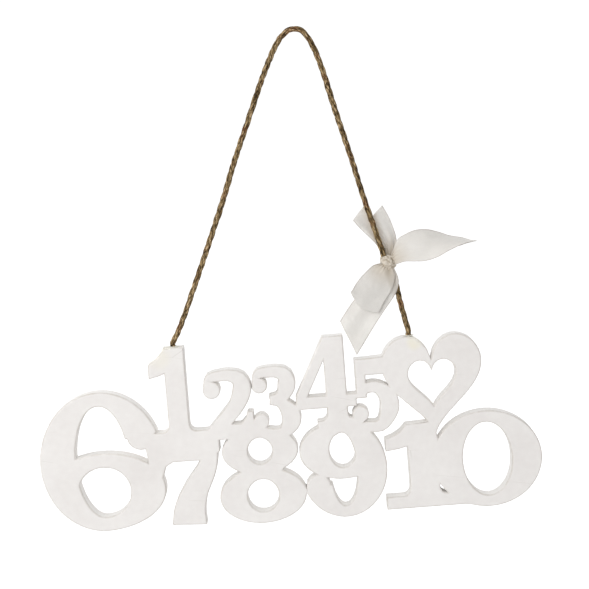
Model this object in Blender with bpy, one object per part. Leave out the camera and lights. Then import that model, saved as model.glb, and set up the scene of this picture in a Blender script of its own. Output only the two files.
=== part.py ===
# A cut-out wooden sign on a jute twine with a ribbon bow. Metres, +Z up, X along the sign, front to -Y.
# The origin is where the twine's top bends over whatever holds it.
# The board is drawn level in its own plane, u along it and v up, and then turned by its tilt.
# v = 0 is the top line of the tall figures, where the left hole opens, so the rows grow downwards.

import math

import bmesh
import bpy
import numpy as np
from mathutils import Matrix, Vector
from mathutils.geometry import delaunay_2d_cdt

MM = 0.001

# The board
BOARD_THICKNESS = 12 * MM
BOARD_TILT = math.radians(4.4)
EDGE_CHAMFER = 0.8 * MM
LEAST_OPENING_WIDTH = 2.8 * MM
LEAST_EDGE = 1.4 * MM
LEFT_HOLE_X = -91.4 * MM
LEFT_HOLE_Z = -240.4 * MM

# The two rows of figures
TALL_HEIGHT = 73 * MM
SHORT_HEIGHT = 54 * MM
LOWER_HEIGHT = 65 * MM
BIG_HEIGHT = 107 * MM
ROW_OVERLAP = 1.5 * MM
OVERSHOOT = 3 * MM
UPPER_STEM = 16 * MM
UPPER_ROUND = 14.5 * MM
LOWER_STEM = 23 * MM
BIG_STEM = 27 * MM
UPPER_HAIR = 8.5 * MM
LOWER_HAIR = 9 * MM
BIG_HAIR = 11 * MM
UPPER_SLAB = 9 * MM
LOWER_SLAB = 10 * MM
BRACKET = 5 * MM

# The first figure of each row: its middle along u and its width
ONE_U, ONE_WIDTH = -83.4 * MM, 43 * MM
SIX_U, SIX_WIDTH = -144 * MM, 94 * MM

# The others: the width, and how far each reaches into the figure on its left
TWO_WIDTH, TWO_LAP = 38 * MM, 2.6 * MM
THREE_WIDTH, THREE_LAP = 36 * MM, 1 * MM
FOUR_WIDTH, FOUR_LAP = 46 * MM, 2.5 * MM
FIVE_WIDTH, FIVE_LAP = 36 * MM, 4.5 * MM
HEART_WIDTH, HEART_LAP = 76 * MM, 11.5 * MM
SEVEN_WIDTH, SEVEN_LAP = 55 * MM, 12 * MM
EIGHT_WIDTH, EIGHT_LAP = 66 * MM, 3 * MM
NINE_WIDTH, NINE_LAP = 66 * MM, 3.5 * MM
TEN_ONE_WIDTH, TEN_ONE_LAP = 60 * MM, 2.5 * MM
ZERO_WIDTH, ZERO_LAP = 83 * MM, 23 * MM
OUTLINE_STEP = 3.6 * MM

# The open heart: how far its lobes stay under the tall figures and its tip goes into the lower row
HEART_DROP = 5 * MM
HEART_SINK = 9 * MM
HEART_OPENING = 36 * MM
HOLE_ON_HEART = 0.2

# The twine and how it is fastened
TWINE_DIAMETER = 4 * MM
HOLE_DIAMETER = 6.4 * MM
HOLE_DEPTH = 13 * MM
GLUE_FLOOR = 2.5 * MM
GLUE_COLLAR = 1.2 * MM
GLUE_RISE = 0.7 * MM
STUB_RISE = 1.2 * MM
GAP = 0.3 * MM
TWINE_POINT_SPACING = 2 * TWINE_DIAMETER

# The twine's bend over the hanging point, x and z, and the points of each straight leg under it
TWINE_BEND = [
    (-24.2, -36.6), (-17.6, -20.4), (-11.9, -9.8), (-6.2, -2.8), (0.0, 0.0),
    (6.6, -2.3), (12.2, -9.0), (17.0, -18.8), (22.2, -33.7),
]
LEG_POINTS = 5

# The ribbon bow
RIBBON_WIDTH = 25 * MM
RIBBON_THICKNESS = 0.5 * MM
BOW_HEIGHT = 55 * MM
KNOT_WIDTH = 12.5 * MM
KNOT_HEIGHT = 12 * MM
KNOT_DEPTH = 10.5 * MM
KNOT_WAIST = 0.12
KNOT_LOBES = 0.04
KNOT_CLEARANCE = 0.35 * MM
STRIP_STATIONS = 15
STRIP_COLUMNS = 11
FOLD_DRIFT = 0.15

BOARD_PAINT = (0.83, 0.81, 0.79, 1.0)
TWINE_COLOUR = (0.23, 0.15, 0.075, 1.0)
GLUE_COLOUR = (0.72, 0.62, 0.38, 1.0)
RIBBON_COLOUR = (0.75, 0.71, 0.68, 1.0)


def clear_scene():
    for obj in list(bpy.data.objects):
        bpy.data.objects.remove(obj, do_unlink=True)


def material(name, colour, roughness):
    made = bpy.data.materials.new(name)
    made.use_nodes = True
    surface = made.node_tree.nodes["Principled BSDF"]
    surface.inputs["Base Color"].default_value = colour
    surface.inputs["Roughness"].default_value = roughness
    surface.inputs["Metallic"].default_value = 0.0
    return made


def add_object(name, data, surface):
    obj = bpy.data.objects.new(name, data)
    bpy.context.scene.collection.objects.link(obj)
    data.materials.append(surface)
    return obj


# Flat shapes: each is an outer loop of (u, v) points and a list of inner loops


def arc(u, v, width, height, start, end):
    """Points on an ellipse between two angles in degrees, about one outline step apart."""
    steps = max(6, round(math.radians(abs(end - start)) * (width + height) / 4 / OUTLINE_STEP))
    angles = [math.radians(start + (end - start) * i / steps) for i in range(steps + 1)]
    return [(u + width / 2 * math.cos(a), v + height / 2 * math.sin(a)) for a in angles]


def ellipse(u, v, width, height):
    return arc(u, v, width, height, 0, 360)[:-1]


def ring(u, v, width, height, stem, hair):
    return (ellipse(u, v, width, height), [ellipse(u, v, width - 2 * stem, height - 2 * hair)])


def ring_part(u, v, width, height, stem, hair, start, end):
    """A stretch of a ring, thick at its sides and thin at its top, as one loop."""
    outer = arc(u, v, width, height, start, end)
    return outer + arc(u, v, width - 2 * stem, height - 2 * hair, end, start)


def block(u0, v0, u1, v1):
    return [(u0, v0), (u1, v0), (u1, v1), (u0, v1)]


def smooth_line(points, steps):
    """Points on a Catmull-Rom curve through the given ones, steps to each span."""
    p = np.array([2 * np.array(points[0]) - points[1], *points, 2 * np.array(points[-1]) - points[-2]])
    line = []
    for a, b, c, d in zip(p, p[1:], p[2:], p[3:]):
        for t in np.arange(steps) / steps:
            cubic = 3 * b - a - 3 * c + d
            line.append(b + 0.5 * t * (c - a + t * (2 * a - 5 * b + 4 * c - d + t * cubic)))
    return np.array([*line, p[-2]])


def evenly(line, spacing, width=2):
    """The line with its points a like distance apart, measured on its first width columns."""
    along = np.concatenate([[0], np.cumsum(np.linalg.norm(np.diff(line[:, :width], axis=0), axis=1))])
    at = np.linspace(0, along[-1], round(along[-1] / spacing) + 1)
    return np.stack([np.interp(at, along, column) for column in line.T], axis=1)


def stroke(stations):
    """A pen stroke through (u, v, width) stations, as one loop."""
    line = evenly(smooth_line(stations, 8), 0.8 * OUTLINE_STEP)
    along = np.gradient(line[:, :2], axis=0)
    along /= np.linalg.norm(along, axis=1)[:, None]
    side = np.stack([-along[:, 1], along[:, 0]], axis=1) * line[:, 2:] / 2
    return [tuple(q) for q in (*(line[:, :2] + side), *(line[:, :2] - side)[::-1])]


def slab(u, v, stem, width, thickness):
    """A slab serif under a stem, with a curved bracket on each side."""
    steps = 4
    right = [(width / 2, 0), (width / 2, thickness)]
    for i in range(steps + 1):
        a = math.pi / 2 * i / steps
        right.append((stem / 2 + BRACKET * (1 - math.sin(a)), thickness + BRACKET * (1 - math.cos(a))))
    left = [(-x, y) for x, y in reversed(right)]
    return [(u + x, v + y) for x, y in right + left]


# The figures, in a box from (u, v) at its lower middle. Each gives a list of shapes that overlap


def draw_one(u, v, width, height, stem, slab_height):
    flag = 0.9 * (width - stem) / 2
    left, top = u - stem / 2, v + height
    flag_outline = [
        (left + 0.2 * stem, top), (left, top - 0.02 * height), (left - 0.3 * flag, top - 0.08 * height),
        (left - 0.65 * flag, top - 0.13 * height), (left - flag, top - 0.16 * height),
        (left - flag, top - 0.31 * height), (left - 0.4 * flag, top - 0.29 * height),
        (left + 0.2 * stem, top - 0.25 * height),
    ]
    return [
        (block(left, v + slab_height, u + stem / 2, top), []),
        (slab(u, v, stem, width, slab_height), []),
        (flag_outline, []),
    ]


def draw_two(u, v, width, height, stem, hair, slab_height):
    left, top, ball = u - width / 2, v + height, 0.36 * width
    bow = [
        (left + 0.09 * width, v + 0.74 * height, 0.5 * hair),
        (left + 0.16 * width, v + 0.88 * height, 0.8 * hair),
        (left + 0.34 * width, top - 0.62 * hair, hair),
        (left + 0.56 * width, top - 0.6 * hair, 1.1 * hair),
        (left + 0.76 * width, v + 0.84 * height, 0.85 * stem),
        (left + 0.8 * width, v + 0.68 * height, stem),
        (left + 0.66 * width, v + 0.46 * height, 0.85 * stem),
        (left + 0.4 * width, v + 0.26 * height, 0.8 * stem),
        (left + 0.2 * width, v + 0.1 * height, 0.8 * stem),
    ]
    base = [
        (left, v),
        (left + width, v),
        (left + width, v + 0.38 * height),
        (left + 0.88 * width, v + 0.38 * height),
        (left + 0.84 * width, v + 0.29 * height),
        (left + 0.74 * width, v + 1.3 * slab_height),
        (left + 0.2 * width, v + 1.3 * slab_height),
        (left, v + 0.9 * slab_height),
    ]
    return [
        (stroke(bow), []),
        (ellipse(left + 0.2 * width, v + 0.71 * height, ball, ball), []),
        (base, []),
    ]


def draw_three(u, v, width, height, stem, hair):
    left, top, ball = u - width / 2, v + height, 0.34 * width
    upper = [
        (left + 0.09 * width, v + 0.78 * height, 0.5 * hair),
        (left + 0.16 * width, v + 0.9 * height, 0.8 * hair),
        (left + 0.34 * width, top - 0.58 * hair, hair),
        (left + 0.56 * width, top - 0.6 * hair, 1.1 * hair),
        (left + 0.74 * width, v + 0.85 * height, 0.85 * stem),
        (left + 0.75 * width, v + 0.69 * height, 0.95 * stem),
        (left + 0.6 * width, v + 0.57 * height, hair),
        (left + 0.38 * width, v + 0.54 * height, 0.8 * hair),
    ]
    lower = [
        (left + 0.38 * width, v + 0.53 * height, 0.8 * hair),
        (left + 0.6 * width, v + 0.5 * height, hair),
        (left + 0.79 * width, v + 0.36 * height, stem),
        (left + 0.8 * width, v + 0.22 * height, stem),
        (left + 0.62 * width, v + 0.6 * hair, 1.1 * hair),
        (left + 0.36 * width, v + 0.56 * hair, hair),
        (left + 0.16 * width, v + 0.1 * height, 0.8 * hair),
        (left + 0.08 * width, v + 0.22 * height, 0.5 * hair),
    ]
    return [
        (stroke(upper), []),
        (stroke(lower), []),
        (ellipse(left + 0.19 * width, v + 0.74 * height, ball, ball), []),
        (ellipse(left + 0.18 * width, v + 0.26 * height, ball, ball), []),
    ]


def draw_four(u, v, width, height, stem, hair, slab_height):
    left, top = u - width / 2, v + height
    stem_left = left + 0.5 * width
    bar = v + 0.25 * height
    bar_top = bar + 1.1 * slab_height
    slope = [
        (stem_left + 1.1 * hair, top),
        (stem_left, top),
        (left, bar_top),
        (left, bar),
        (left + 1.1 * hair, bar),
        (left + 1.1 * hair, bar_top),
    ]
    return [
        (block(stem_left, v + slab_height, stem_left + stem, top), []),
        (slab(stem_left + stem / 2, v, stem, 2 * stem, slab_height), []),
        (block(left, bar, left + width, bar_top), []),
        (slope, []),
    ]


def draw_five(u, v, width, height, stem, hair, slab_height):
    left, ball = u - width / 2, 0.36 * width
    post = left + 0.12 * width
    bowl = [
        (post + 0.4 * hair, v + 0.5 * height, 0.7 * hair),
        (left + 0.34 * width, v + 0.6 * height, hair),
        (left + 0.58 * width, v + 0.6 * height, 1.15 * hair),
        (left + 0.77 * width, v + 0.47 * height, 0.95 * stem),
        (left + 0.8 * width, v + 0.3 * height, stem),
        (left + 0.62 * width, v + 0.65 * hair, 1.15 * hair),
        (left + 0.36 * width, v + 0.56 * hair, hair),
        (left + 0.16 * width, v + 0.1 * height, 0.8 * hair),
        (left + 0.08 * width, v + 0.22 * height, 0.5 * hair),
    ]
    return [
        (block(post, v + height - 1.45 * slab_height, left + 0.93 * width, v + height), []),
        (block(post, v + 0.47 * height, post + 0.95 * hair, v + height), []),
        (stroke(bowl), []),
        (ellipse(left + 0.19 * width, v + 0.26 * height, ball, ball), []),
    ]


def draw_six(u, v, width, height, stem, hair, bowl_share, turned):
    """A six, or a nine when it is turned by half a turn about its middle.

    Its left side is half of one tall ring, and its bowl is most of a lower ring that shares the foot.
    """
    bowl, middle, ball = bowl_share * height, v + height / 2, 0.82 * stem
    tip = math.radians(22)
    end_u = u + (width - stem) / 2 * math.cos(tip)
    end_v = middle + (height - hair) / 2 * math.sin(tip)
    shapes = [
        (ring_part(u, middle, width, height, stem, hair, math.degrees(tip), 280), []),
        (ring_part(u, v + bowl / 2, width, bowl, stem, hair, -90, 160), []),
        (ellipse(end_u, end_v, ball, ball), []),
    ]
    if not turned:
        return shapes
    return [(half_turn(outer, u, middle), inner) for outer, inner in shapes]


def half_turn(loop, u, v):
    return [(2 * u - a, 2 * v - b) for a, b in loop]


def draw_seven(u, v, width, height, stem, slab_height):
    left, top = u - width / 2, v + height
    head = [
        (left, top), (left + width, top), (left + width, top - slab_height),
        (left + 0.8 * width, top - 1.6 * slab_height), (left + 0.34 * width, top - 1.6 * slab_height),
        (left + 0.24 * width, top - 1.9 * slab_height), (left + 0.2 * width, top - 2.7 * slab_height),
        (left, top - 2.7 * slab_height),
    ]
    leg = [
        (left + width - 0.3 * stem, top - 0.6 * slab_height, 0.5 * stem),
        (left + 0.8 * width, v + 0.66 * height, 0.65 * stem),
        (left + 0.62 * width, v + 0.4 * height, 0.85 * stem),
        (left + 0.52 * width, v + 0.18 * height, 1.05 * stem),
        (left + 0.5 * width, v, 1.15 * stem),
    ]
    return [(head, []), (stroke(leg), [])]


def draw_eight(u, v, width, height, stem, hair):
    upper_height, lower_height = 0.49 * height, 0.58 * height
    return [
        ring(u, v + lower_height / 2, width, lower_height, 0.92 * stem, hair),
        ring(u, v + height - upper_height / 2, 0.88 * width, upper_height, 0.86 * stem, 0.9 * hair),
    ]


def heart_loop(u, top, width, height):
    """The usual heart curve, with its lobes' tops at the given height."""
    steps = round(1.5 * (width + height) / 2 / OUTLINE_STEP)
    half = [0.4 + (math.pi - 0.65) * i / steps for i in range(steps + 1)]
    loop = []
    for a in [0, *half, math.pi, *(-x for x in reversed(half))]:
        x = 16 * math.sin(a) ** 3
        y = 13 * math.cos(a) - 5 * math.cos(2 * a) - 2 * math.cos(3 * a) - math.cos(4 * a)
        loop.append((u + x / 32 * width, top + (y - 11.9) / 28.9 * height))
    return loop


def draw_heart(u, v, width, height):
    opening_height = height * HEART_OPENING / width
    wall = 0.47 * (height - opening_height)
    opening = heart_loop(u, v + height - wall, HEART_OPENING, opening_height)
    return [(heart_loop(u, v + height, width, height), [opening])]


def beside(middle, width, others):
    """The middles of a row of figures: the first one's, then those of the (width, lap) ones after it."""
    middles = [middle]
    edge = middle + width / 2
    for width, lap in others:
        middles.append(edge - lap + width / 2)
        edge += width - lap
    return middles


def upper_middles():
    figures = ((TWO_WIDTH, TWO_LAP), (THREE_WIDTH, THREE_LAP), (FOUR_WIDTH, FOUR_LAP), (FIVE_WIDTH, FIVE_LAP))
    return beside(ONE_U, ONE_WIDTH, (*figures, (HEART_WIDTH, HEART_LAP)))


def lower_middles():
    figures = ((SEVEN_WIDTH, SEVEN_LAP), (EIGHT_WIDTH, EIGHT_LAP), (NINE_WIDTH, NINE_LAP))
    return beside(SIX_U, SIX_WIDTH, (*figures, (TEN_ONE_WIDTH, TEN_ONE_LAP), (ZERO_WIDTH, ZERO_LAP)))


def figure_shapes():
    one, two, three, four, five, heart = upper_middles()
    six, seven, eight, nine, ten_one, zero = lower_middles()
    upper = -TALL_HEIGHT
    lower = upper + ROW_OVERLAP - LOWER_HEIGHT
    round_foot = lower - OVERSHOOT
    round_height = LOWER_HEIGHT + 3 * OVERSHOOT
    low, bowed_height = upper - OVERSHOOT, SHORT_HEIGHT + OVERSHOOT
    return [
        *draw_one(one, upper, ONE_WIDTH, TALL_HEIGHT, UPPER_STEM, UPPER_SLAB),
        *draw_two(two, upper, TWO_WIDTH, SHORT_HEIGHT, UPPER_ROUND, UPPER_HAIR, UPPER_SLAB),
        *draw_three(three, low, THREE_WIDTH, bowed_height, UPPER_ROUND, UPPER_HAIR),
        *draw_four(four, upper, FOUR_WIDTH, TALL_HEIGHT, UPPER_STEM, UPPER_HAIR, UPPER_SLAB),
        *draw_five(five, low, FIVE_WIDTH, bowed_height, UPPER_ROUND, UPPER_HAIR, UPPER_SLAB),
        *draw_heart(heart, upper - HEART_SINK, HEART_WIDTH, TALL_HEIGHT + HEART_SINK - HEART_DROP),
        *draw_six(six, lower, SIX_WIDTH, BIG_HEIGHT, BIG_STEM, BIG_HAIR, 0.56, False),
        *draw_seven(seven, lower, SEVEN_WIDTH, LOWER_HEIGHT, LOWER_STEM, LOWER_SLAB),
        *draw_eight(eight, round_foot, EIGHT_WIDTH, round_height, LOWER_STEM, LOWER_HAIR),
        *draw_six(nine, round_foot, NINE_WIDTH, round_height, LOWER_STEM, LOWER_HAIR, 0.6, True),
        *draw_one(ten_one, lower, TEN_ONE_WIDTH, LOWER_HEIGHT, LOWER_STEM, LOWER_SLAB),
        ring(zero, round_foot + round_height / 2, ZERO_WIDTH, round_height, LOWER_STEM, LOWER_HAIR),
    ]


# One outline out of all the overlapping shapes


def inside(loop, points):
    """For each point, whether it is inside the loop, by counting the edges to its right."""
    a = np.array(loop)
    b = np.roll(a, -1, axis=0)
    x, y = points[:, 0, None], points[:, 1, None]
    spans = (a[:, 1] > y) != (b[:, 1] > y)
    rise = np.where(b[:, 1] == a[:, 1], 1.0, b[:, 1] - a[:, 1])
    crossing = a[:, 0] + (y - a[:, 1]) / rise * (b[:, 0] - a[:, 0])
    return (spans & (crossing > x)).sum(axis=1) % 2 == 1


def triangulate(loops, keep):
    """Triangles between the loops whose middles keep() accepts, as points and corner indices."""
    points, edges = [], []
    for loop in loops:
        first, count = len(points), len(loop)
        points += [Vector(p) for p in loop]
        edges += [(first + i, first + (i + 1) % count) for i in range(count)]
    points, _, faces, *_ = delaunay_2d_cdt(points, edges, [], 0, 1e-7)
    points = np.array([tuple(p) for p in points])
    faces = np.array(faces)
    return points, faces[keep(points[faces].mean(axis=1))]


def outline_loops(shapes):
    """The boundary loops of the union of the shapes."""

    def covered(middles):
        found = np.zeros(len(middles), bool)
        for outer, inner in shapes:
            hit = inside(outer, middles)
            for loop in inner:
                hit &= ~inside(loop, middles)
            found |= hit
        return found

    all_loops = [loop for outer, inner in shapes for loop in (outer, *inner)]
    points, faces = triangulate(all_loops, covered)
    directed = {(f[i], f[(i + 1) % 3]) for f in faces.tolist() for i in range(3)}
    following = {a: b for a, b in directed if (b, a) not in directed}
    loops = []
    while following:
        start, at = next(iter(following.items()))
        del following[start]
        loop = [start]
        while at != start:
            loop.append(at)
            at = following.pop(at)
        loops.append(points[loop])
    return loops


def tidy_loop(loop, least_bend=math.radians(1.5)):
    """The loop without points that crowd together or lie on a straight run."""
    kept = [loop[0]]
    for p in loop[1:]:
        if np.linalg.norm(p - kept[-1]) > LEAST_EDGE:
            kept.append(p)
    if np.linalg.norm(kept[0] - kept[-1]) < LEAST_EDGE:
        kept.pop()
    result = []
    for i, p in enumerate(kept):
        a, b = p - kept[i - 1], kept[(i + 1) % len(kept)] - p
        bend = math.atan2(a[0] * b[1] - a[1] * b[0], a @ b)
        if abs(bend) > least_bend:
            result.append(p)
    return np.array(result)


def inset_loop(loop, distance):
    """The loop moved to its left by the distance, with its corners kept sharp."""
    before, after = loop - np.roll(loop, 1, axis=0), np.roll(loop, -1, axis=0) - loop
    normals = []
    for edge in (before, after):
        edge = edge / np.linalg.norm(edge, axis=1)[:, None]
        normals.append(np.stack([-edge[:, 1], edge[:, 0]], axis=1))
    middle = normals[0] + normals[1]
    length = np.linalg.norm(middle, axis=1)[:, None]
    reach = np.minimum(2 / length, 1.6)
    return loop + middle / length * reach * distance


def board_matrix():
    """From the board's own plane, u, depth and v, to the row frame."""
    return Matrix.Translation((LEFT_HOLE_X, 0, LEFT_HOLE_Z)) @ Matrix.Rotation(-BOARD_TILT, 4, "Y")


def on_board(u, v, depth=0.0):
    return board_matrix() @ Vector((u - ONE_U, depth, v))


def area(loop):
    following = np.roll(loop, -1, axis=0)
    return abs((loop[:, 0] * following[:, 1] - loop[:, 1] * following[:, 0]).sum()) / 2


def make_board(surface):
    """The board in its own plane, turned by its tilt. Openings too small for the saw are left closed."""
    found = outline_loops(figure_shapes())
    loops = [tidy_loop(loop) for loop in found if area(loop) > LEAST_OPENING_WIDTH**2]

    def even_odd(middles):
        return sum(inside(loop, middles).astype(int) for loop in loops) % 2 == 1

    _, faces = triangulate(loops, even_odd)
    inset = np.concatenate([inset_loop(loop, EDGE_CHAMFER) for loop in loops])
    half = BOARD_THICKNESS / 2
    mesh = bmesh.new()
    front = [mesh.verts.new((u - ONE_U, -half, v)) for u, v in inset]
    back = [mesh.verts.new((u - ONE_U, half, v)) for u, v in inset]
    for a, b, c in faces.tolist():
        mesh.faces.new((front[a], front[b], front[c]))
        mesh.faces.new((back[c], back[b], back[a]))
    first = 0
    for loop in loops:
        near = [mesh.verts.new((u - ONE_U, EDGE_CHAMFER - half, v)) for u, v in loop]
        far = [mesh.verts.new((u - ONE_U, half - EDGE_CHAMFER, v)) for u, v in loop]
        count = len(loop)
        for i in range(count):
            j = (i + 1) % count
            rows = (front[first + i], near[i], far[i], back[first + i])
            next_rows = (front[first + j], near[j], far[j], back[first + j])
            for k in range(3):
                mesh.faces.new((rows[k], rows[k + 1], next_rows[k + 1], next_rows[k]))
        first += count
    data = finished_data("sign_board", mesh)
    board = add_object("sign_board", data, surface)
    board.matrix_world = board_matrix()
    data.shade_smooth()
    data.set_sharp_from_angle(angle=math.radians(30))
    return board


# The twine, its two glued ends and the holes that take them


def exits():
    """The two holes' mouths in the row frame, left and right. The right one is on the heart's left lobe."""
    lobe = upper_middles()[-1] - HOLE_ON_HEART * HEART_WIDTH
    return on_board(ONE_U, 0.0), on_board(lobe, -HEART_DROP)


def board_up():
    return Vector((-math.sin(BOARD_TILT), 0, math.cos(BOARD_TILT)))


def pivots():
    """The middles of the twine's rounded tips, just over the glued ends. The board swings about them."""
    rise = STUB_RISE + GAP + TWINE_DIAMETER / 2
    return [mouth + board_up() * rise for mouth in exits()]


def cut_with(obj, name, data, place):
    """Cuts a hidden helper of the given mesh out of the object."""
    helper = bpy.data.objects.new(name, data)
    bpy.context.scene.collection.objects.link(helper)
    helper.matrix_world = place
    helper.hide_render = True
    helper.display_type = "WIRE"
    cut = obj.modifiers.new(name, "BOOLEAN")
    cut.object = helper
    cut.operation = "DIFFERENCE"


def finished_data(name, mesh):
    """The bmesh as a named mesh, with its faces pointing out."""
    bmesh.ops.recalc_face_normals(mesh, faces=mesh.faces)
    data = bpy.data.meshes.new(name)
    mesh.to_mesh(data)
    mesh.free()
    return data


def rod_data(name, diameter, length, sides):
    """A round rod along Z, about the middle."""
    mesh = bmesh.new()
    bmesh.ops.create_cone(
        mesh, cap_ends=True, segments=sides, radius1=diameter / 2, radius2=diameter / 2, depth=length
    )
    return finished_data(name, mesh)


def drill_holes(board):
    reach = HOLE_DEPTH + HOLE_DIAMETER
    for side, mouth in zip(("left", "right"), exits()):
        middle = mouth + board_up() * (reach / 2 - HOLE_DEPTH)
        place = Matrix.Translation(middle) @ Matrix.Rotation(-BOARD_TILT, 4, "Y")
        cut_with(board, f"{side}_hole", rod_data(f"{side}_hole", HOLE_DIAMETER, reach, 20), place)


def turned_solid(name, profile, base, surface, steps=20):
    """A turned piece that stands on base, along the board's v, from (radius, height) points."""
    mesh = bmesh.new()
    verts = [mesh.verts.new((r, 0, h)) for r, h in profile]
    edges = [mesh.edges.new((verts[i], verts[i + 1])) for i in range(len(verts) - 1)]
    bmesh.ops.spin(
        mesh, geom=verts + edges, axis=(0, 0, 1), angle=2 * math.pi, steps=steps, use_merge=True
    )
    bmesh.ops.remove_doubles(mesh, verts=mesh.verts, dist=1e-6)
    data = finished_data(name, mesh)
    obj = add_object(name, data, surface)
    obj.matrix_world = Matrix.Translation(base) @ Matrix.Rotation(-BOARD_TILT, 4, "Y")
    data.shade_smooth()
    data.set_sharp_from_angle(angle=math.radians(35))
    return obj


def make_glued_ends(twine_surface, glue_surface):
    radius, bore = TWINE_DIAMETER / 2, HOLE_DIAMETER / 2 - GAP
    for side, mouth in zip(("left", "right"), exits()):
        bottom = mouth - board_up() * HOLE_DEPTH
        glue = [
            (0, GAP), (bore, GAP), (bore, HOLE_DEPTH + GAP), (bore + GLUE_COLLAR, HOLE_DEPTH + GAP),
            (bore + 0.4 * GLUE_COLLAR, HOLE_DEPTH + GLUE_RISE),
            (radius + GAP, HOLE_DEPTH + GLUE_RISE + GAP),
            (radius + GAP, GLUE_FLOOR), (0, GLUE_FLOOR),
        ]
        turned_solid(f"{side}_glue_plug", glue, bottom, glue_surface)
        foot, head = GLUE_FLOOR + GAP, HOLE_DEPTH + STUB_RISE
        end = [(0, foot), (radius, foot), (radius, head), (0, head)]
        turned_solid(f"{side}_twine_end", end, bottom, twine_surface, steps=12)


def leg_points(low, high):
    """The points of a taut leg from its lower end, without either end."""
    return [low + (high - low) * i / (LEG_POINTS + 1) for i in range(1, LEG_POINTS + 1)]


def twine_route():
    bend = [Vector((x * MM, 0, z * MM)) for x, z in TWINE_BEND]
    left, right = pivots()
    return [left, *leg_points(left, bend[0]), *bend, *reversed(leg_points(right, bend[-1])), right]


def make_twine(surface):
    """The free stretch, with a rounded tip over each glued end."""
    radius = TWINE_DIAMETER / 2
    smooth = smooth_line([tuple(p) for p in twine_route()], 12)
    middle = [Vector(p) for p in evenly(smooth, TWINE_POINT_SPACING, 3)]
    tips = []
    for end, inner in ((middle[0], middle[1]), (middle[-1], middle[-2])):
        out = (end - inner).normalized()
        shares = [math.sin(math.radians(a)) for a in (30, 60, 82)]
        tips.append([(end + out * s * radius, math.sqrt(1 - s * s)) for s in shares])
    route = [*reversed(tips[0]), *((p, 1.0) for p in middle), *tips[1]]
    curve = bpy.data.curves.new("hanging_twine", "CURVE")
    curve.dimensions = "3D"
    curve.bevel_depth = radius
    curve.bevel_resolution = 2
    curve.use_fill_caps = True
    spline = curve.splines.new("POLY")
    spline.points.add(len(route) - 1)
    for point, (place, share) in zip(spline.points, route):
        point.co = (*place, 1.0)
        point.radius = share
    return add_object("hanging_twine", curve, surface)


# The bow: a knot that slides on the right leg, two loops and two tails


def bow_centre():
    """Where the knot sits on the right leg, and the leg's direction upwards."""
    low, high = pivots()[1], Vector((TWINE_BEND[-1][0] * MM, 0, TWINE_BEND[-1][1] * MM))
    up = (high - low).normalized()
    return low + up * BOW_HEIGHT, up


def knot_place():
    centre, up = bow_centre()
    return Matrix.Translation(centre) @ up.to_track_quat("Z", "Y").to_matrix().to_4x4()


def knot_data(name, grown_by):
    """The knot's ball along Z, drawn in at its ends and softly lobed, with the given clearance all round."""
    mesh = bmesh.new()
    bmesh.ops.create_uvsphere(mesh, u_segments=24, v_segments=14, radius=1.0)
    for vert in mesh.verts:
        angle, end_share = math.atan2(vert.co.y, vert.co.x), vert.co.z**2
        lobe = KNOT_LOBES * math.cos(6 * angle) * (1 - end_share)
        share = 1 - KNOT_WAIST * end_share * math.cos(2 * angle) - lobe
        vert.co.x *= (KNOT_WIDTH / 2 + grown_by) * share
        vert.co.y *= (KNOT_DEPTH / 2 + grown_by) * share
        vert.co.z *= KNOT_HEIGHT / 2 + grown_by
    return finished_data(name, mesh)


def make_knot(surface):
    data = knot_data("bow_knot", 0.0)
    data.shade_smooth()
    knot = add_object("bow_knot", data, surface)
    knot.matrix_world = knot_place()
    bore = rod_data("twine_bore", TWINE_DIAMETER + 2 * KNOT_CLEARANCE, 2 * KNOT_HEIGHT, 16)
    cut_with(knot, "twine_bore", bore, knot_place())


def strip(name, stations, folds, fold_depth, surface):
    """A ribbon strip, cut to the knot where it meets it.

    A station is the middle (x, y, z) in mm from the knot's middle, the width in mm, the lean of the crossing
    line in degrees from X towards Z, and the share of the fold depth there.
    """
    centre, _ = bow_centre()
    line = smooth_line(stations, max(2, STRIP_STATIONS // (len(stations) - 1)))
    mesh = bmesh.new()
    rows = []
    for i, (x, y, z, width, lean, share) in enumerate(line):
        across = Vector((math.cos(math.radians(lean)), 0, math.sin(math.radians(lean))))
        middle = centre + Vector((x, y, z)) * MM
        row = []
        for j in range(STRIP_COLUMNS):
            t = 2 * j / (STRIP_COLUMNS - 1) - 1
            fold = fold_depth * share * math.cos(math.pi * folds * t + FOLD_DRIFT * i)
            row.append(mesh.verts.new(middle + across * (t * width / 2 * MM) + Vector((0, fold, 0))))
        rows.append(row)
    for low, high in zip(rows, rows[1:]):
        for j in range(STRIP_COLUMNS - 1):
            mesh.faces.new((low[j], low[j + 1], high[j + 1], high[j]))
    data = finished_data(name, mesh)
    obj = add_object(name, data, surface)
    thick = obj.modifiers.new("cloth thickness", "SOLIDIFY")
    thick.thickness = RIBBON_THICKNESS
    thick.offset = 0.0
    data.shade_smooth()
    cut_with(obj, f"{name}_seat", knot_data(f"{name}_seat", GAP), knot_place())


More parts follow.
